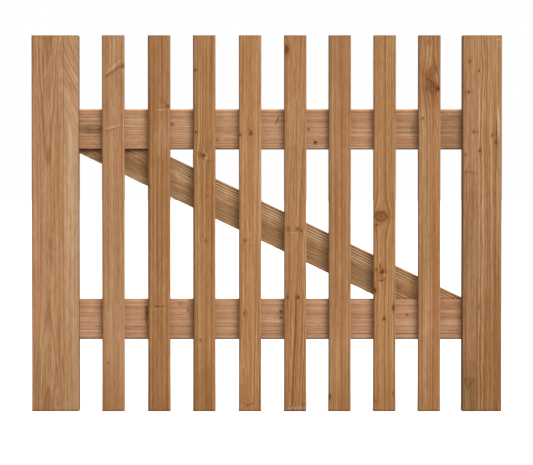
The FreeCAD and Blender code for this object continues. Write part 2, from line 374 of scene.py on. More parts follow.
# %% Knot group
def make_knot():
    tree, given, out = start_group("Knot", MARK_INPUTS | {"Radius": 0.005, "Length": 1.3},
                                   ("Plug", "Rim", "Heart", "Collar", "Ripple", "Push"))
    place = in_board(given, "Place")
    rough = vector("-", long_cloud(place, 260, 200).outputs["Color"], MIDDLE_GREY)
    bent = split(vector("+", place, vector("*", rough, (0.009, 0, 0.009))))
    here = split(place)

    def radii_away(where, length):
        away = hypotenuse(where[0], calc("/", where[2], length))
        return calc("/", away, given["Radius"])

    far = radii_away(bent, given["Length"])
    feed(out["Plug"], drop(far, 0.85, 1.05))
    feed(out["Rim"], calc("*", ease(far, 0.62, 0.95), drop(far, 1.02, 1.3)))
    feed(out["Heart"], drop(far, 0.1, 0.5))
    feed(out["Collar"], drop(far, 0.9, 2.4))
    ripple = ease(calc("SINE", calc("*", far, 11)), 0, 1)
    feed(out["Ripple"], calc("*", ripple, drop(far, 1.3, 4)))

    flow = radii_away(here, calc("*", given["Length"], 1.7))
    pull = calc("/", 1, calc("MAXIMUM", calc("*", flow, flow), 1))
    pull = calc("*", pull, drop(flow, 4, 12))
    feed(out["Push"], calc("*", calc("*", pull, here[0]), -1.2))
    return tree


knot_group = make_knot()

# %% [markdown]
# ## Stains, streaks and scars
# Resin, a plane that tore the grain, a stripe of heartwood: these are long soft patches of another
# tone. One group serves them all. Its mask has a frayed outline and is streaked along its own
# length, and it may lie another way than the grain, which gives the scars that slant across a
# picket.

# %% Patch group
def frayed(far, place, across, along):
    """Make the distance that draws an outline uneven."""
    fray = long_cloud(place, across, along).outputs[0]
    return calc("+", far, calc("*+", fray, 1.3, -0.65))


def make_patch():
    tree, given, out = start_group("Patch", MARK_INPUTS | {"Half width": 0.003, "Half length": 0.02},
                                   ("Mask",))
    place = in_board(given, "Place")
    here = split(place)
    far = hypotenuse(calc("/", here[0], given["Half width"]),
                     calc("/", here[2], given["Half length"]))
    far = frayed(far, place, 420, 70)
    streak = ease(long_cloud(place, 700, 25).outputs[0], 0.3, 0.7, 0.45, 1)
    feed(out["Mask"], calc("*", drop(far, 0.45, 1.1), streak))
    return tree


patch_group = make_patch()

# %% [markdown]
# ## Torn grain
# Where a branch lay close under the surface, the planer's knife met the fibres at a slant and
# lifted them. That shows as a row of short, even strokes. A whole row is one group: the point's
# place along the row is folded back into a single step, so one stroke repeats.

# %% Strokes group
def make_strokes():
    inputs = {"Lay": 1.5, "Half width": 0.001, "Half length": 0.006, "Step": 0.005, "Reach": 0.02}
    tree, given, out = start_group("Strokes", MARK_INPUTS | inputs, ("Mask",))
    place = in_board(given, "Place")
    here = split(place)
    lean = calc("/", here[0], calc("TANGENT", given["Lay"]))
    along_row = calc("-", here[2], lean)
    step = calc("ROUND", calc("/", along_row, given["Step"]))
    centre = calc("*", step, given["Step"])
    slope = calc("SINE", given["Lay"])
    beside = calc("*", calc("-", along_row, centre), slope)
    beside = calc("/", beside, given["Half width"])
    uneven = calc("*+", calc("SINE", calc("*", step, 2.4)), 0.25, 1)
    half_length = calc("*", given["Half length"], uneven)
    along = calc("/", calc("/", here[0], slope), half_length)
    far = frayed(hypotenuse(beside, along), place, 300, 300)
    inside = calc("LESS_THAN", calc("ABSOLUTE", centre), given["Reach"])
    feed(out["Mask"], calc("*", drop(far, 0.4, 1.1), inside))
    return tree


strokes_group = make_strokes()

# %% [markdown]
# ## Eased edges and sawn ends
# The plane takes the sharp corner off each long edge. On one side of a board that arris is painted
# pale, partly the wear of handling and partly a painted highlight on the side the light comes from.
# On the other side the arris gets a dark line of painted shade, and a band of painted shade runs in
# from both long edges, heavier on that side. The sawn ends drink the most oil and go dark. All of
# this is told from how near a point is to the board's outside, so the group needs the board's half
# sizes.

# %% Edges group
def make_edges():
    tree, given, out = start_group(
        "Board edges", BOARD_INPUTS | {"Half size": (0.02, 0.01, 0.4), "Worn side": 1},
        ("Arris", "Grime", "Soak", "Sawn end", "Near end"))
    place = in_board(given)
    inside = split(vector("-", given["Half size"], vector("ABSOLUTE", place)))
    gap = calc("MAXIMUM", inside[0], inside[1])
    fray = long_cloud(place, 60, 30).outputs[0]
    limit = calc("*", fray, 0.005)
    side = calc("*", split(place)[0], given["Worn side"])
    # The arris on the lit side is painted pale, partly wear and partly a painted highlight.
    arris = drop(calc("-", gap, limit), -0.001, 0.001)
    feed(out["Arris"], calc("*", arris, ease(side, -0.001, 0.001, 0.1, 1)))
    # The arris on the other side gets a narrow dark line of painted shade.
    other = drop(side, -0.001, 0.001)
    narrow = drop(calc("*+", fray, -0.0012, inside[0]), 0.0004, 0.0026)
    feed(out["Grime"], calc("*", narrow, other))
    # A band of painted shade runs in from both long edges, heavier on the side away from the light.
    soak = drop(calc("-", inside[0], limit), -0.002, 0.009)
    feed(out["Soak"], calc("*", soak, calc("*+", other, 0.7, 0.3)))
    feed(out["Sawn end"], drop(inside[2], 0.0004, 0.0012))
    creep = calc("-", inside[2], calc("*", fray, 0.008))
    feed(out["Near end"], drop(creep, -0.004, 0.003))
    return tree


edges_group = make_edges()

# %% [markdown]
# ## One finish, many boards
# Every board gets its own material, because no two boards come from the same tree: the pith lies
# elsewhere, the rings are wider or narrower, the tone is redder or paler, and the knots are its
# own. The material puts the groups together, and the Principled shader stays in it.

# %% Tones and marks
KNOT_BLACK = (0.055, 0.014, 0.003)
KNOT_RED = (0.25, 0.08, 0.017)
DARK = (0.125, 0.05, 0.013)
RED = (0.29, 0.115, 0.043)
ORANGE = (0.46, 0.2, 0.062)
PALE = (0.66, 0.43, 0.25)
GREY = (0.22, 0.135, 0.08)
EARLYWOOD = (0.15, 0.23, 0.36)    # what the rings add to a tone at full contrast
LATEWOOD = (-0.32, -0.43, -0.56)
WARM_BAND = (1.04, 0.84, 0.7)     # and what multiplies a tone elsewhere
# The pale arris factors below are partly wear and partly a painted highlight.
WORN = (1.5, 1.6, 1.7)
# The factors below darken oiled end grain and also paint shade along the long edges.
OILY = (0.5, 0.42, 0.36)
# The dark arris factors below are painted shade.
DIRTY = (0.34, 0.28, 0.24)
OIL_POWERS = (0.75, 1.08, 1.6)    # where wood drinks more oil, blue fades twice as fast as red

MM = 0.001
Knot = namedtuple("Knot", "x z radius dark long", defaults=(0.8, 1.25))
Patch = namedtuple("Patch", "x z wide long colour share turn")
Row = namedtuple("Row", (*Patch._fields, "lay", "step", "reach"))


def toned(colour, factors):
    """A colour with each channel multiplied."""
    return tuple(min(1, channel * factor) for channel, factor in zip(colour, factors))


def between(first, second, share):
    return tuple(a + share * (b - a) for a, b in zip(first, second))

# %% Wood material
def lay(colour, mask, share, hue):
    """Lay a hue over a colour where a mask shows it."""
    return blend(calc("*", mask, share), colour, opaque(hue))


def wood(name, middle, half, turn, tone, pith, lean=(0, 0), sweep=(0, 0), ring=4.2, waver=2, wave=0.6,
         contrast=1, knots=(), patches=(), bend=None, bold=None, fades=(), wear=0.4, grime=0,
         worn_side=1, soak=0, seed=0):
    """The finish of one board. Tone is its mean colour. Ring, waver and wave are in millimetres.

    A bend is (z low, z high, shift): above z high the grain lies that much further left. A fade is
    (z low, z high, factor low, factor high) and multiplies the tone, and bold does the same to the
    strength of the rings. These and the pith are in metres.
    """
    material, tree, shader = start_material(name)
    board = {"Middle": middle, "Turn": turn, "Seed": seed}

    height = split(object_place(tree))[2]
    push = ease(height, bend[0], bend[1], 0, bend[2]) if bend else 0
    plugs = []
    for knot in knots:
        plug = add(tree, "Group", node_tree=knot_group, Place=(knot.x, middle[1], knot.z), Turn=turn,
                   Radius=knot.radius, Length=knot.long).outputs
        push = calc("+", plug["Push"], push)
        if knot.dark:
            plugs.append((plug, knot.dark))
    rings = add(tree, "Group", node_tree=growth_rings, Pith=(*pith, 0), Lean=(*lean, 0), Push=push,
                Sweep=(*sweep, 0), Ring_width=ring * MM, Waver=waver * MM, Wave=wave * MM, **board).outputs
    threads = add(tree, "Group", node_tree=fibres, Push=push, **board).outputs
    edges = add(tree, "Group", node_tree=edges_group, Half_size=half, Worn_side=worn_side, **board).outputs

    early = toned(tone, [1 + share * contrast for share in EARLYWOOD])
    late = toned(tone, [1 + share * contrast for share in LATEWOOD])
    strength = ease(height, *bold) if bold else 1
    colour = lay(opaque(early), rings["Latewood"], strength, late)
    colour = lay(colour, rings["Band"], 0.45, toned(tone, WARM_BAND))
    for patch in patches:
        where = {"node_tree": patch_group, "Place": (patch.x, middle[1], patch.z), "Half_width": patch.wide,
                 "Half_length": patch.long, "Turn": turn if patch.turn is None else patch.turn}
        if isinstance(patch, Row):
            where |= {"node_tree": strokes_group, "Lay": patch.lay, "Step": patch.step, "Reach": patch.reach}
        mask = add(tree, "Group", **where).outputs["Mask"]
        colour = lay(colour, mask, patch.share, patch.colour)
    shade = 1
    for thread, depth in (("Streak", 0.42), ("Hair", 0.22), ("Mottle", 0.12)):
        shade = calc("*", shade, calc("*+", threads[thread], depth, 1 - depth / 2))
    for fade in fades:
        shade = calc("*", shade, ease(height, *fade))
    oil = beside("CombineXYZ", *(calc("POWER", shade, power) for power in OIL_POWERS))
    colour = vector("*", colour, oil.outputs[0])
    for plug, dark in plugs:
        for layer, share, hue in (("Ripple", 0.45 * dark, KNOT_RED), ("Collar", 0.75 * dark, KNOT_RED),
                                  ("Plug", 0.9 * dark ** 2, between(KNOT_RED, KNOT_BLACK, 0.7 * dark)),
                                  ("Rim", 0.2 + 0.45 * dark, KNOT_BLACK), ("Heart", 0.6 * dark, KNOT_BLACK)):
            colour = lay(colour, plug[layer], share, hue)
    # These layers paint a band of painted shade along the long edges, a pale arris that is partly wear and
    # partly a painted highlight, and a dark line of painted shade on the arris away from the light; the last
    # two are oil soaked into the end grain.
    for layer, share, factors in (("Soak", soak, OILY), ("Arris", wear, WORN), ("Grime", grime, DIRTY),
                                  ("Near end", 0.35, OILY), ("Sawn end", 0.6, OILY)):
        colour = lay(colour, edges[layer], share, toned(tone, factors))
    feed(shader["Base Color"], colour)

    relief = calc("*+", rings["Latewood"], 0.6, calc("*", threads["Hair"], 0.4))
    feed(shader["Normal"], beside("Bump", Height=relief, Distance=0.00025, Strength=0.6).outputs[0])
    rough = calc("*+", rings["Latewood"], -0.12, 0.72)
    feed(shader["Roughness"], calc("*+", threads["Hair"], 0.08, rough))
    feed(shader["Specular IOR Level"], 0.2)
    return material

# %% [markdown]
# ## Planing the boards
# The frame's boards have flat faces and even edges. A planed board hasn't. Each one is built again
# as a skin of small faces around the grain, with rounded arrises, a slow unevenness of a tenth of a
# millimetre, dents in its edges, dimples at its knots and fine drying cracks. The frame's own solid
# then cuts that blank, which gives it every mortise, tenon and bore.

# %% A board's section
MESH_STEP = 0.0035
ARRIS_STEPS = 4
SKIN = 0.00006                    # every blank lies this far inside the frame's solid
CRACK_HALF = 0.0003


def section(width, depth, radii, cracks=()):
    """The outline seen along the grain: rows of (across, depth, normal across, normal depth).

    It starts at the front left corner and goes round by the front face. Each crack gets three
    columns of its own on the front.
    """
    rows = []
    for index, (side_x, side_y) in enumerate(CORNERS):
        radius = radii[index]
        start = math.atan2(side_y, side_x) - math.pi / 4
        steps = ARRIS_STEPS if radius > 0.001 else 1
        for step in range(steps + 1):
            angle = start + step / steps * math.pi / 2
            rows.append((side_x * (width / 2 - radius) + radius * math.cos(angle),
                         side_y * (depth / 2 - radius) + radius * math.sin(angle),
                         math.cos(angle), math.sin(angle)))
        x0, y0, normal_x, normal_y = rows[-1]
        next_x, next_y = CORNERS[(index + 1) % 4]
        next_radius = radii[(index + 1) % 4]
        x1 = next_x * (width / 2 - next_radius) + next_radius * normal_x
        y1 = next_y * (depth / 2 - next_radius) + next_radius * normal_y
        length = math.hypot(x1 - x0, y1 - y0)
        count = max(1, round(length / MESH_STEP))
        shares = [step / count for step in range(1, count)]
        if index == 0:
            shares = [s for s in shares
                      if all(abs(x0 + s * length - crack) > 3 * CRACK_HALF for crack in cracks)]
            shares += [(crack + offset - x0) / length for crack in cracks
                       for offset in (-CRACK_HALF, 0, CRACK_HALF)]
        for share in sorted(shares):
            rows.append((x0 + share * (x1 - x0), y0 + share * (y1 - y0), normal_x, normal_y))
    return np.array(rows)

# %% A blank
END_BREAK = 0.0008
SQUARE = 0.999                    # a flat face's normal lies this much along an axis
FAR_OFF = 6                       # a dent has run out here, in squares of its reach
WAVE_DEPTH = 0.00008
CHIP_DEPTH = 0.0007
DIMPLE_DEPTH = 0.00035
DIMPLE_FROM = 0.4                 # a paler knot than this is level with the board


def blank(name, middle, size, turn, radii, knots=(), dents=(), cracks=(), rough=0, bears=0, seed=0):
    """A planed board as a closed mesh in the leaf's coordinates.

    Size is (across, depth, along). A dent is (x, z, depth, reach) and a crack (x, z low, z high,
    depth), in leaf coordinates. Bears is the side, -1 or 1 across, that another board's end bears
    on: it is left proud, and the frame's solid trims it flat, so that no light shows through.
    """
    width, depth, length = (value - 2 * SKIN for value in size)
    back = Matrix.Rotation(turn, 3, "Y")
    home = back.inverted()

    def local(x, z):
        found = home @ Vector((x - middle[0], 0, z - middle[2]))
        return found.x, found.z

    dents = [(*local(x, z), sink, reach) for x, z, sink, reach in dents]
    knots = [(*local(knot.x, knot.z), knot.radius) for knot in knots if knot.dark > DIMPLE_FROM]
    cracks = [(*local(x, low), local(x, high)[1], sink) for x, low, high, sink in cracks]
    outline = section(width, depth, radii, [crack[0] for crack in cracks])
    flat = np.abs(outline[:, 2:]).max(axis=1) > SQUARE

    def sink_at(row, along):
        across, deep, normal_x, normal_y = outline[row]
        if normal_x * bears > SQUARE:
            return -2 * SKIN
        wave = noise.noise(Vector((across * 14 + seed, deep * 14, along * 5)))
        sink = WAVE_DEPTH * (1 + wave)
        if normal_x > 0.6:
            sink += rough * (1 + noise.noise(Vector((seed, deep * 60, along * 130))))
        if not flat[row]:
            chip = noise.noise(Vector((across * 30 + seed, deep * 30 + 7, along * 55)))
            sink += CHIP_DEPTH * max(0, chip - 0.12)
        for x, z, depth_here, reach in dents:
            away = ((across - x) / reach) ** 2 + ((along - z) / (1.4 * reach)) ** 2
            if away < FAR_OFF and deep < 0:
                sink += depth_here * math.exp(-away)
        if abs(normal_y) > 0.9:
            for x, z, radius in knots:
                away = ((across - x) ** 2 + ((along - z) / 1.3) ** 2) / radius ** 2
                if away < FAR_OFF:
                    sink += DIMPLE_DEPTH * math.exp(-away)
        if normal_y < -0.9:
            for x, low, high, crack_depth in cracks:
                if abs(across - x) < 1e-6 and low < along < high:
                    sink += crack_depth * math.sin(math.pi * (along - low) / (high - low)) ** 0.5
        return sink

    half = length / 2
    stations = np.linspace(-half + END_BREAK, half - END_BREAK, max(8, round(length / MESH_STEP)))
    loops = []

    def add_loop(shape, along):
        loops.append(np.column_stack([shape[:, 0], shape[:, 1], np.full(len(shape), along)]))

    core_x = max(0, width / 2 - depth / 2)
    core_y = max(0, depth / 2 - width / 2)
    spine = np.clip(outline[:, :2], (-core_x, -core_y), (core_x, core_y))

    def cap(along, outward):
        rings = [outline[:, :2] - END_BREAK * outline[:, 2:]]
        rings += [rings[0] + share * (spine - rings[0]) for share in (0.3, 0.65)]
        for ring in (rings if outward else rings[::-1]):
            add_loop(ring, along)

    cap(-half, False)
    for along in stations:
        sinks = np.array([sink_at(row, along) for row in range(len(outline))])
        add_loop(outline[:, :2] - sinks[:, None] * outline[:, 2:], along)
    cap(half, True)

    count = len(outline)
    points = np.concatenate(loops) @ np.array(back).T + np.array(middle)
    faces = []
    for ring in range(len(loops) - 1):
        for row in range(count):
            a, b = ring * count + row, ring * count + (row + 1) % count
            faces.append((a, b, b + count, a + count))
    faces += [tuple(range(count - 1, -1, -1)), tuple(range(len(points) - count, len(points)))]
    mesh = bpy.data.meshes.new(name)
    mesh.from_pydata(points.tolist(), [], faces)
    return new_object(name, mesh)

# %% [markdown]
# ## Cutting the blank
# The blank lies just inside the frame's solid, so what the two have in common is the blank with
# the frame's joinery cut into it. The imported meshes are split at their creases, and a boolean
# needs a closed skin, so the frame's solid is first copied and its points are welded.

# %% Cut a blank with the frame's solid
WELD = 1e-6
SMOOTH_BELOW = math.radians(34)


def welded_copy(node):
    """A closed copy of a CAD node, for cutting only."""
    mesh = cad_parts[node].data.copy()
    work = bmesh.new()
    work.from_mesh(mesh)
    bmesh.ops.remove_doubles(work, verts=work.verts, dist=WELD)
    work.to_mesh(mesh)
    work.free()
    return new_object("cutter_" + node, mesh)


def joined_to_frame(thing, node):
    """Keep what the blank and the CAD node have in common, and show it in the node's place."""
    cutter = welded_copy(node)
    cut = thing.modifiers.new("joinery", "BOOLEAN")
    cut.operation = "INTERSECT"
    cut.solver = "MANIFOLD"
    cut.object = cutter
    bpy.context.view_layer.update()
    result = bpy.data.meshes.new_from_object(thing.evaluated_get(bpy.context.evaluated_depsgraph_get()))
    thing.modifiers.clear()
    thing.data = result
    bpy.data.objects.remove(cutter)
    result.shade_smooth()
    result.set_sharp_from_angle(angle=SMOOTH_BELOW)
    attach(thing, "root")
    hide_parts(node)
    return thing

# %% [markdown]
# ## The pickets
# Eight planed uprights, 48 by 17 mm. They are described one by one: how the board was sawn from
# its log, how red or pale it is, and where its knots and scars are. Places are in millimetres from
# the picket's own left edge and from the ground.

# %% Boards of the leaf
def metres(left, x, *lengths):
    """Lengths told in millimetres, the first of them from a left edge."""
    return left + x * MM, *(length * MM for length in lengths)


def patch_from(mark, left):
    """A patch told as (x, z, half width, half length, colour, share), and (across, up) if it slants."""
    if isinstance(mark, Row):
        return mark._replace(x=left + mark.x)
    slant = mark[6:]
    return Patch(*metres(left, *mark[:4]), *mark[4:6], math.atan2(*slant) if slant else None)


def board(node, slot, tone, turn=0, radius=2.2, radii=None, size=None, middle=None, left=0,
          knots=(), patches=(), dents=(), cracks=(), rough=0, bears=0, **figure):
    """Plane one board of the frame and give it its finish. Marks and arrises are in millimetres."""
    low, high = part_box(node)
    middle = middle or (low + high) / 2
    span = high - low
    size = size or ((span.x, span.y, span.z) if turn == 0 else (span.z, span.y, span.x))
    seed = sum(ord(letter) * (place + 1) for place, letter in enumerate(node)) % 97 / 3.1
    knots = [Knot(*metres(left, *knot[:3]), *knot[3:]) for knot in knots]
    patches = [patch_from(mark, left) for mark in patches]
    dents, cracks = ([metres(left, *mark) for mark in marks] for marks in (dents, cracks))
    radii = [value * MM for value in radii or (radius,) * 4]
    thing = blank("planed_" + node, middle, size, turn, radii, knots, dents, cracks, rough * MM, bears, seed)
    joined_to_frame(thing, node)
    half = tuple(value / 2 for value in size)
    finish = wood(node + "_wood", middle, half, turn, tone, knots=knots, patches=patches, seed=seed, **figure)
    thing.data.materials.clear()
    thing.data.materials.append(finish)
    print(f"{thing.name}: {len(thing.data.polygons)} faces, {len(knots)} knots")
    return thing


FOOT_FADE = (0, 0.13, 0.86, 1)


def picket(number, tone, **figure):
    """A picket, with places told from its own left edge. Its tone darkens towards the foot."""
    node = f"picket_{number}"
    # The pale right arris is partly wear and partly a painted highlight; the dark line on the left arris and
    # the band in from the long edges are painted shade.
    finish = {"soak": 0.22, "wear": 0.6, "grime": 0.6, "fades": [FOOT_FADE]} | figure
    return board(node, "picket_wood", tone, left=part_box(node)[0].x, **finish)


def hatch(start, end, count, slant, wide=0.9, long=5, colour=DARK, share=0.6):
    """Short strokes side by side from start to end, as torn grain shows them."""
    x, z, across, up = metres(0, (start[0] + end[0]) / 2, (start[1] + end[1]) / 2,
                              end[0] - start[0], end[1] - start[1])
    length = math.hypot(across, up)
    turn = math.atan2(across, up)
    return Row(x, z, wide * MM, long * MM, colour, share, turn, math.atan2(*slant) - turn,
               length / count, length / 2)

# %% Pickets 1 to 4
picket(
    1, (0.42, 0.224, 0.1), pith=(-0.12, 0.05), ring=4.8, waver=3, wave=0.8, contrast=0.8,
    knots=[(13, 104, 2.6, 0.4, 0.6), (47.5, 735, 2.8, 0.75)], dents=[(48, 734, 2.2, 3)],
    patches=[
        (23.5, 722, 2.2, 28, DARK, 0.5, 39, 26), (25.5, 733.5, 2.8, 28, PALE, 0.75, 39, 34),
        (40, 733, 4.5, 8, DARK, 0.4, 10, 4), hatch((10, 713), (46, 740), 7, (-3, 10), wide=1.1, share=0.75),
        (26, 601.5, 1.4, 26, DARK, 0.5, 40, 11), (26, 606, 1.8, 26, PALE, 0.6, 40, 11),
        hatch((6, 593), (34, 600), 5, (2, 10), long=3, share=0.4), (0, 120, 3, 14, DARK, 0.4),
        (30, 770, 12, 40, PALE, 0.12)])
picket(
    2, (0.353, 0.166, 0.06), pith=(0.11, 0.04), ring=5.2, waver=2.5, wave=1.2, contrast=1.2,
    fades=[(0, 0.08, 0.85, 1)], knots=[(43.5, 650, 3.4, 0.6, 1.2), (1, 477, 2.2, 0.8)],
    dents=[(0, 477, 1.8, 3)],
    patches=[
        (4, 660, 4, 170, RED, 0.5), (12, 680, 2, 130, RED, 0.5), (33, 661, 1.6, 13, DARK, 0.6, 10, -4),
        (35, 656, 1.3, 10, DARK, 0.55, 10, -3), (31, 668, 1.2, 16, DARK, 0.4, 10, -6),
        (32, 642, 1.8, 18, PALE, 0.6, 12, 1), (36, 647, 1.2, 10, DARK, 0.5, 12, 2),
        (30, 580, 18, 50, PALE, 0.2), (0, 340, 1.6, 150, DARK, 0.6), (8, 400, 4, 90, RED, 0.4),
        (21.5, 223.5, 2, 10, DARK, 0.9, 10, -1), (33, 223.5, 1.7, 8, DARK, 0.85, 10, 1),
        (27, 218.5, 1.4, 18, PALE, 0.4, 10, 1), (9, 228, 1, 8, DARK, 0.5, 10, -4)])
picket(
    3, (0.38, 0.184, 0.068), pith=(0.13, 0.06), ring=5.6, waver=2, wave=1, contrast=0.95, grime=0.9,
    fades=[(0.04, 0.16, 0.84, 1)],
    knots=[
        (4.5, 725.6, 2.1, 0.9), (5.5, 594, 2.1, 0.9), (26, 541.5, 6.5, 0, 0.8), (30.5, 458, 2.4, 0.4),
        (28, 363, 2.2, 0.3), (15.4, 151, 1.9, 0.75)],
    patches=[
        (20.5, 545, 14, 9.5, KNOT_RED, 0.75), (22.5, 545, 3.2, 6.8, KNOT_BLACK, 1, 8, -4),
        (25.8, 539, 1.5, 3.5, PALE, 0.8, 8, -4), (22.5, 539, 1.1, 5.5, KNOT_RED, 0.9, 8, -6),
        (31.5, 534.5, 1.4, 11, DARK, 0.9, 10, -1), (12.5, 552.5, 1.4, 7, KNOT_RED, 0.8, 10, 7),
        (33, 452, 2, 6, PALE, 0.5), hatch((30, 556), (46, 585), 5, (8, 9), long=7, share=0.45),
        (42, 620, 3, 50, ORANGE, 0.35), (24, 750, 20, 80, ORANGE, 0.12)])
picket(
    4, (0.42, 0.21, 0.0845), pith=(-0.1, 0.06), lean=(0.02, 0), ring=5.8, waver=4, wave=1.2, contrast=1.2,
    bold=(0.2, 0.3, 1.35, 0.9),
    knots=[
        (25.7, 592.7, 3, 0.7, 1.6), (2.4, 588, 2.2, 0.8), (13, 363, 2.4, 0.25), (13.5, 209, 3.6, 0.3, 0.8),
        (5, 50, 9, 0, 4)],
    patches=[
        (22, 600, 1.4, 11, DARK, 0.6, 8, -10), (26.5, 602, 1.1, 9, DARK, 0.5, 8, -10),
        (31, 597, 1.4, 9, PALE, 0.6, 8, -10), (6, 591, 1.2, 8, DARK, 0.5, 9, 4),
        hatch((10, 10), (30, 16), 4, (8, 6), wide=1.2, long=7, share=0.7),
        hatch((30, 20), (44, 50), 4, (-4, 10), wide=1, long=9, share=0.4),
        (10, 17, 1.2, 9, KNOT_BLACK, 0.6, -8, 6), (12.5, 202, 1.2, 10, DARK, 0.5, 10, -3),
        (20, 359, 1.1, 15, PALE, 0.5, 10, 1), (20, 365.5, 0.9, 14, DARK, 0.4, 10, -1),
        (8, 700, 3, 100, RED, 0.3), (45.5, 500, 2, 160, PALE, 0.4)])

# %% Pickets 5 to 8
picket(
    5, (0.404, 0.201, 0.0805), pith=(0.1, 0.06), lean=(0.05, 0), ring=4, waver=6, wave=2.4, contrast=1.1,
    bold=(0.2, 0.28, 1.6, 0.85),
    knots=[
        (3, 770, 5.8, 0.8, 1.4), (8.9, 389, 2.2, 0.55), (29.4, 389, 2.6, 0.7), (36.6, 384, 2, 0.7),
        (8, 243, 1.8, 0.8), (29.2, 243, 2.8, 0.9)],
    patches=[
        (6, 765, 3, 20, DARK, 0.5), (24, 9, 30, 9, PALE, 0.5), (14, 755, 2.2, 30, RED, 0.5, -4, 30),
        (20, 720, 1.4, 60, RED, 0.5, -3, 60), (32, 710, 1.4, 70, RED, 0.4, 2, 60),
        hatch((2, 11), (46, 13), 9, (6, 10), wide=1.2, long=6, share=0.8), (24, 0, 30, 4.5, DARK, 1),
        (22, 383.5, 1.1, 16, DARK, 0.5, 10, -1), (26, 381, 1.2, 14, PALE, 0.4, 10, 0)])
picket(
    6, (0.392, 0.197, 0.0815), pith=(0.16, 0.03), ring=4.6, waver=1.5, contrast=0.65,
    knots=[(1.2, 31.5, 3.2, 1, 1.5)], dents=[(0, 31.5, 1.2, 2)])
picket(
    7, (0.42, 0.21, 0.079), pith=(-0.14, 0.06), ring=6.6, waver=2, contrast=1.05,
    knots=[
        (16, 415, 12.5, 0.6, 0.8), (6.5, 397, 2.6, 0.7), (18.4, 297, 2.8, 1, 1.1),
        (3, 258, 3.4, 0.95, 1.3), (23.2, 197.5, 2.2, 1), (45.5, 220.8, 4.2, 0.75, 1),
        (44.2, 39, 2.1, 0.7), (5.5, 21, 2, 0.6)],
    patches=[
        (17, 294, 14, 23, RED, 0.85), (15.2, 311, 1.8, 9, DARK, 1), (18.5, 279, 2, 10, DARK, 1, 10, 1),
        (6.5, 302, 2.4, 6, DARK, 0.9), (27.5, 298.5, 1.8, 6, DARK, 1), (22, 302, 1.5, 8, DARK, 0.9, 10, 8),
        (10, 288, 1.2, 8, DARK, 0.6, -5, 10), (19, 425.5, 1.2, 9, DARK, 0.4, 10, 1),
        (13, 408, 1.2, 6, DARK, 0.4, 8, -5), (23, 290, 3.5, 4, PALE, 0.6), (45.5, 220.8, 1.8, 2, PALE, 0.9),
        (17.5, 417, 2.2, 2, KNOT_RED, 0.9)])
picket(
    8, (0.408, 0.206, 0.0845), pith=(0.11, 0.06), ring=5, waver=3, wave=1,
    fades=[FOOT_FADE, (0.64, 0.66, 1, 0.88)],
    knots=[(23.5, 786, 2.8, 0.12), (30, 706, 12, 0, 1.2), (42, 686.5, 3, 1), (9.8, 623.8, 2.2, 0.6)],
    patches=[
        (37.5, 726, 8.5, 12, GREY, 0.8, 4, -10), (44.5, 733.5, 1.3, 6, KNOT_BLACK, 0.7, 6, -9),
        (33.5, 717.5, 1.2, 7, KNOT_BLACK, 0.55, 8, -9), (25.5, 706, 8.5, 30, KNOT_RED, 0.55, 34, -36),
        hatch((13.5, 717), (42.5, 686), 6, (-2, 10), wide=2.2, long=8, colour=KNOT_BLACK, share=0.75),
        hatch((11.5, 721), (41, 690), 8, (7, 10), wide=1.4, long=7, colour=ORANGE, share=0.9),
        hatch((13, 697), (42, 681), 6, (0, 1), wide=1.5, long=18, share=0.85), (23, 758, 13, 25, PALE, 0.28),
        (15, 690, 9, 14, RED, 0.35)])

# %% [markdown]
# ## The stiles
# A stile is too thick to come from one clear board, so it is glued up from strips. The pair of
# strips share a fine glue line and differ in tone and grain, and the hinge stile's narrow strip is
# itself joined end to end from three lengths, with a wedge-shaped finger near its foot.

# %% Latch stile
STILE_ARRIS = 3.1
GLUE_ARRIS = 0.3
OUTER_LEFT = (STILE_ARRIS, GLUE_ARRIS, GLUE_ARRIS, STILE_ARRIS)
OUTER_RIGHT = (GLUE_ARRIS, STILE_ARRIS, STILE_ARRIS, GLUE_ARRIS)

# On the stiles the dark line along the left arris is painted shade.
board(
    "latch_stile_outer_lamella", "stile_wood", (0.428, 0.228, 0.104), radii=OUTER_LEFT, pith=(0.002, 0.01),
    sweep=(0, -0.075), ring=4.6, waver=4, wave=1.8, contrast=0.6, bold=(0.5, 0.66, 1, 1.8), wear=0,
    grime=0.75, fades=[(0, 0.15, 0.88, 1)],
    knots=[(-437, 720, 5, 0, 7), (-460, 355, 4, 0, 4), (-446, 18, 6, 0, 2.5)],
    cracks=[(-436, 85, 119, 2)],
    patches=[
        (-476, 739, 4, 30, DARK, 0.35), (-442, 485, 1.6, 70, ORANGE, 0.6, 6, 110),
        (-461, 420, 12, 160, RED, 0.22), (-459, 340, 3, 50, DARK, 0.25), (-462.5, 760, 4, 50, PALE, 0.35),
        (-446, 20, 4, 14, GREY, 0.45), (-434, 100, 1, 30, DARK, 0.6, -2, 30), (-477, 50, 1.2, 60, DARK, 0.4)])
board(
    "latch_stile_inner_lamella", "stile_wood", (0.503, 0.296, 0.152), radii=OUTER_RIGHT, pith=(0.19, 0.03),
    ring=6.2, waver=1.5, wave=1.4, bend=(0.58, 0.82, 0.085), contrast=0.8, bold=(0.56, 0.7, 1, 0.75),
    wear=0.1, soak=0.15, fades=[(0.05, 0.25, 0.82, 1), (0.64, 0.78, 1, 0.84)],
    patches=[
        (-428.5, 300, 1.6, 500, PALE, 0.5), (-425.2, 300, 1, 500, DARK, 0.35),
        (-416.4, 300, 1.1, 500, DARK, 0.3)])

# %% Hinge stile
HEAD_JOINT = (430, 510.5, 0.8, 18, DARK, 0.6, 10, 0)
FOOT_JOINT = [(424.5, 56, 1.3, 18, DARK, 0.8, -6, 28), (432.5, 56, 1.3, 18, DARK, 0.8, 10, 28),
              (430, 69.5, 1, 20, DARK, 0.6, 10, 0)]

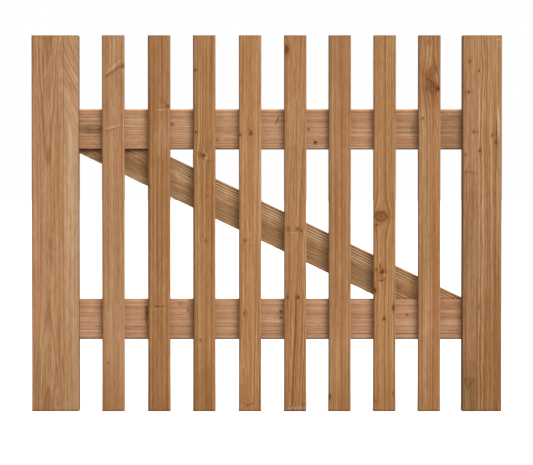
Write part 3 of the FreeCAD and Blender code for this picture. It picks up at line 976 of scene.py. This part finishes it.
board(
    "hinge_stile_outer_lamella", "stile_wood", (0.365, 0.181, 0.07), radii=OUTER_RIGHT, pith=(-0.13, 0.04),
    ring=5.5, waver=5, wave=4.5, contrast=1.7, wear=0.15, fades=[(0, 0.7, 0.77, 1.13)],
    knots=[
        (450.7, 724.6, 2.1, 0.6), (480.6, 586.7, 2.6, 0.5, 0.8), (487.2, 572.5, 2.2, 0.8, 1.8),
        (453.2, 554.6, 2.2, 0.65)],
    patches=[
        (491.7, 791.5, 7, 4, PALE, 0.4), (492.5, 606, 2.2, 38, PALE, 0.8), (489.2, 602, 1.2, 45, DARK, 0.55),
        (447.5, 660, 1.4, 140, RED, 0.4), (452, 640, 2, 60, PALE, 0.5),
        (484, 592, 1.2, 8, DARK, 0.5, -8, 10), (486.6, 400, 1.1, 170, DARK, 0.6),
        (493.5, 340, 3, 100, DARK, 0.25), (458, 360, 13, 210, PALE, 0.28), (483, 170, 14, 240, DARK, 0.14),
        (496.5, 110, 1.6, 90, DARK, 0.5), (451.6, 222.5, 1.6, 9, DARK, 0.9, 1, 8),
        (488.5, 575, 1.7, 75, KNOT_BLACK, 0.85, 2, 150), (491.5, 622, 1.6, 42, PALE, 0.9),
        (443.5, 596, 2.2, 7.5, DARK, 0.95, 10, -3)])
board(
    "hinge_stile_inner_head", "stile_wood", (0.409, 0.21, 0.093), radii=OUTER_LEFT, pith=(-0.15, 0.04),
    ring=5.2, waver=2, wave=1.6, contrast=0.6, grime=0.4,
    knots=[
        (431.3, 744.7, 2.2, 0.6), (428.6, 679, 3, 0.75, 0.7), (441.2, 594, 3, 0.6, 0.8),
        (422.5, 546.6, 2, 0.5)],
    patches=[
        (436.5, 600, 1.3, 9, DARK, 0.55, 8, -6), (445, 588, 1.2, 8, DARK, 0.45, 8, -6),
        # The long dark strip along the stile's left edge, away from the light, is painted shade.
        (433, 681.5, 1, 7, DARK, 0.4, 10, 4), (424.5, 512, 3, 3, DARK, 0.6), (419, 650, 5, 400, DARK, 0.22),
        HEAD_JOINT])
board(
    "hinge_stile_inner_middle", "stile_wood", (0.346, 0.175, 0.073), radii=OUTER_LEFT, pith=(-0.1, 0.06),
    ring=5.5, waver=2, wave=1.6, contrast=0.8, grime=0.4,
    fades=[(0.105, 0.112, 0.82, 1), (0.466, 0.472, 1, 1.12)],
    patches=[
        # The long dark strip along the stile's left edge, away from the light, is painted shade.
        (441, 300, 5, 170, PALE, 0.25), (419, 300, 6, 500, DARK, 0.22), (428.5, 60, 8, 18, DARK, 0.4),
        HEAD_JOINT, *FOOT_JOINT])
board(
    "hinge_stile_inner_foot", "stile_wood", (0.25, 0.13, 0.048), radii=OUTER_LEFT, pith=(0.12, 0.05), ring=5,
    waver=2, wave=1.6, grime=0.4, patches=FOOT_JOINT)

# %% [markdown]
# ## The rails
# Their grain lies down, a quarter turn from upright. They are pinker than the pickets and were
# sawn so that the rings cross the face as fine level lines.

# %% Rails
RAIL_TURN = math.pi / 2

# The upper rail's top arris is painted pale, partly wear and partly a painted highlight from the light
# overhead; both rails get a dark line of painted shade along their lower arris.
board(
    "upper_rail", "rail_wood", (0.49, 0.27, 0.136), turn=RAIL_TURN, radius=3.1, bears=1, pith=(0.14, 0.03),
    ring=4.8, waver=3, wave=1.2, contrast=1.05, wear=0.9, grime=1, worn_side=-1,
    knots=[
        (-374, 600, 8, 0, 2), (-105.5, 579, 2.6, 0.5, 0.7), (-67.7, 568.7, 1.8, 0.4),
        (89, 600, 1.8, 0.7), (103.6, 572, 2.5, 1), (-202.5, 611, 2.2, 0.6)],
    patches=[
        (-372, 607, 2.2, 22, DARK, 0.6, 10, 1), (-370, 600, 1.8, 24, DARK, 0.6, 10, 0),
        (-372, 593.5, 2, 22, DARK, 0.6, 10, -1), (-376, 600, 14, 30, DARK, 0.4),
        (-380, 600, 50, 50, DARK, 0.24), (22.5, 620, 2.7, 11, KNOT_BLACK, 0.95, 4, 10),
        (312, 598, 20, 8, DARK, 0.5), (300, 600, 50, 40, DARK, 0.18), (398, 600, 60, 45, DARK, 0.52),
        (408.5, 587, 4, 4, DARK, 0.7), (0, 588, 6, 500, PALE, 0.3), (0, 618, 1.6, 500, DARK, 0.35)])
board(
    "lower_rail", "rail_wood", (0.488, 0.27, 0.142), turn=RAIL_TURN, radius=3.1, bears=-1,
    pith=(-0.12, 0.05), ring=4.8, waver=3, wave=1.2, contrast=0.9, wear=0, grime=1, worn_side=-1,
    knots=[
        (-255.5, 207, 2.6, 0.5), (-184, 229.3, 2.6, 0.35), (-168, 214.4, 2.4, 0.35), (30, 211.5, 1.9, 0.9),
        (30, 199, 1.7, 0.8), (298.7, 204.7, 1.8, 0.8)],
    patches=[
        (-257, 207, 24, 4.5, DARK, 0.85), (398, 168, 12, 14, RED, 0.45), (400, 197, 60, 45, DARK, 0.14),
        (-183, 232, 1.2, 11, DARK, 0.5, 10, -3), (-166, 217, 1.2, 9, DARK, 0.5, 10, -7),
        (17.7, 193, 1.2, 12, DARK, 0.6, 0, 1), (24, 203, 1.2, 9, DARK, 0.5, 0, 1),
        (0, 165, 1.8, 500, DARK, 0.25), (20, 215, 10, 300, PALE, 0.15), (-370, 197.5, 2.6, 90, PALE, 0.5)])

# %% [markdown]
# ## The brace
# One board rises from the hinge stile's foot to the latch stile's head behind the pickets, and its
# sawn ends bear on the rails. Its slope and width are measured on the frame's own solid, from the
# ends of its long edges. It was left off the saw: its upper third shows fine dark lines, the rest
# is smoother and browner, and its lower edge is rough.

# %% Brace
BRACE_BROWN = (0.315, 0.162, 0.066)
SAW_DARK = (0.1, 0.048, 0.018)
SAW_PALE = (0.8, 0.56, 0.31)
SAW_LINES = (-34.5, -29, -23.5, -18.5)

brace_points = [v.co.copy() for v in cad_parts["brace"].data.vertices]
brace_low, brace_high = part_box("brace")
upper_start = max((p for p in brace_points if p.z > brace_high.z - WELD), key=lambda p: p.x)
upper_end = max((p for p in brace_points if p.x > brace_high.x - WELD), key=lambda p: p.z)
lower_start = min((p for p in brace_points if p.x < brace_low.x + WELD), key=lambda p: p.z)
brace_slope = math.atan2(upper_start.z - upper_end.z, upper_end.x - upper_start.x)
brace_normal = Vector((math.sin(brace_slope), 0, math.cos(brace_slope)))
brace_width = (upper_start - lower_start).dot(brace_normal)
brace_middle = (lower_start + upper_end) / 2
brace_middle.y = (brace_low.y + brace_high.y) / 2
brace_turn = math.pi / 2 + brace_slope
brace_size = (brace_width, brace_high.y - brace_low.y, 2 * (upper_end - lower_start).length - brace_high.x)
print("brace:", round(math.degrees(brace_slope), 1), "degrees,", round(brace_width * 1000, 1), "mm wide")


def on_brace(along, across):
    """A place told from the brace's middle: along it, and across it downwards."""
    place = brace_middle / MM + Matrix.Rotation(brace_turn, 3, "Y") @ Vector((across, 0, along))
    return place.x, place.z


board(
    "brace", "brace_wood", (0.52, 0.31, 0.15), turn=brace_turn, size=brace_size, middle=brace_middle,
    radius=1.6, pith=(-0.14, 0.03), ring=4.6, waver=3, wave=2, contrast=1.4, wear=0.2, rough=0.6,
    # The first fade darkens the brace just under the upper rail: painted shade.
    fades=[(0.49, 0.54, 1, 0.8), (0.33, 0.4, 0.87, 1)], knots=[(*on_brace(-300, 0), 12, 0, 2.5)],
    patches=[
        (*on_brace(0, 15), 28, 800, BRACE_BROWN, 0.9), (*on_brace(0, -12), 2.8, 800, ORANGE, 0.6),
        (*on_brace(-270, -2), 2, 30, PALE, 0.5), (*on_brace(-250, 8), 2.5, 25, ORANGE, 0.6),
        (*on_brace(-300, -12), 2, 30, PALE, 0.4), (*on_brace(-290, 4), 1.8, 20, DARK, 0.5),
        *((*on_brace(0, across), 1.4, 800, SAW_DARK, 0.85) for across in SAW_LINES),
        *((*on_brace(0, across + 2.7), 1.3, 800, SAW_PALE, 0.9) for across in SAW_LINES)])

# %% [markdown]
# ## Pins and screws
# These are the frame's own solids and they keep their shape. The pins are sawn flush at the back,
# so what shows is a small disc of hard end grain. The screws are satin stainless steel, dull down in
# their recess, where their colour is also darkened with painted shade.

# %% Pins
def finish_node(node, material):
    """Give a CAD node a better material."""
    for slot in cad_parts[node].material_slots:
        slot.material = material


def pin_wood():
    material, tree, shader = start_material("turned_hardwood")
    place = object_place(tree)
    pores = cloud(vector("*", place, (1500, 60, 1500))).outputs[0]
    rings = cloud(vector("*", place, (220, 20, 900)), detail=1).outputs[0]
    colour = blend(ease(rings, 0.35, 0.65), (0.36, 0.205, 0.1, 1), (0.5, 0.33, 0.18, 1))
    colour = blend(ease(pores, 0.5, 0.72, 0, 0.7), colour, (0.12, 0.06, 0.03, 1))
    feed(shader["Base Color"], colour)
    feed(shader["Roughness"], ease(pores, 0.3, 0.7, 0.5, 0.7))
    bump = beside("Bump", Height=calc("*", pores, -1), Distance=0.0002)
    feed(shader["Normal"], bump.outputs[0])
    return material


hardwood = pin_wood()
for node in ("upper_rail_pins", "lower_rail_pins"):
    finish_node(node, hardwood)

# %% Screws
HEAD_BEVEL = 0.0004
RECESS_DEPTH = 0.0018


def screw_steel(name, back):
    """Satin steel that is dull in the recess and darkened there with painted shade. Back is the depth in Y at
    which the heads end.
    """
    material, tree, shader = start_material(name)
    place = object_place(tree)
    turned = cloud(vector("*", place, (900, 900, 2600))).outputs[0]
    polished = ease(split(place)[1], back - RECESS_DEPTH, back - HEAD_BEVEL)
    steel = blend(ease(turned, 0.3, 0.7), (0.44, 0.43, 0.42, 1), (0.62, 0.61, 0.59, 1))
    # Down in the recess the colour is darkened: painted shade.
    feed(shader["Base Color"], blend(polished, (0.12, 0.11, 0.1, 1), steel))
    rough = calc("*+", polished, -0.22, 0.55)
    feed(shader["Roughness"], calc("*+", turned, 0.12, rough))
    feed(shader["Metallic"], 1)
    return material


for node in ("upper_rail_screws", "lower_rail_screws", "brace_screws"):
    finish_node(node, screw_steel(node + "_steel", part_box(node)[1].y))
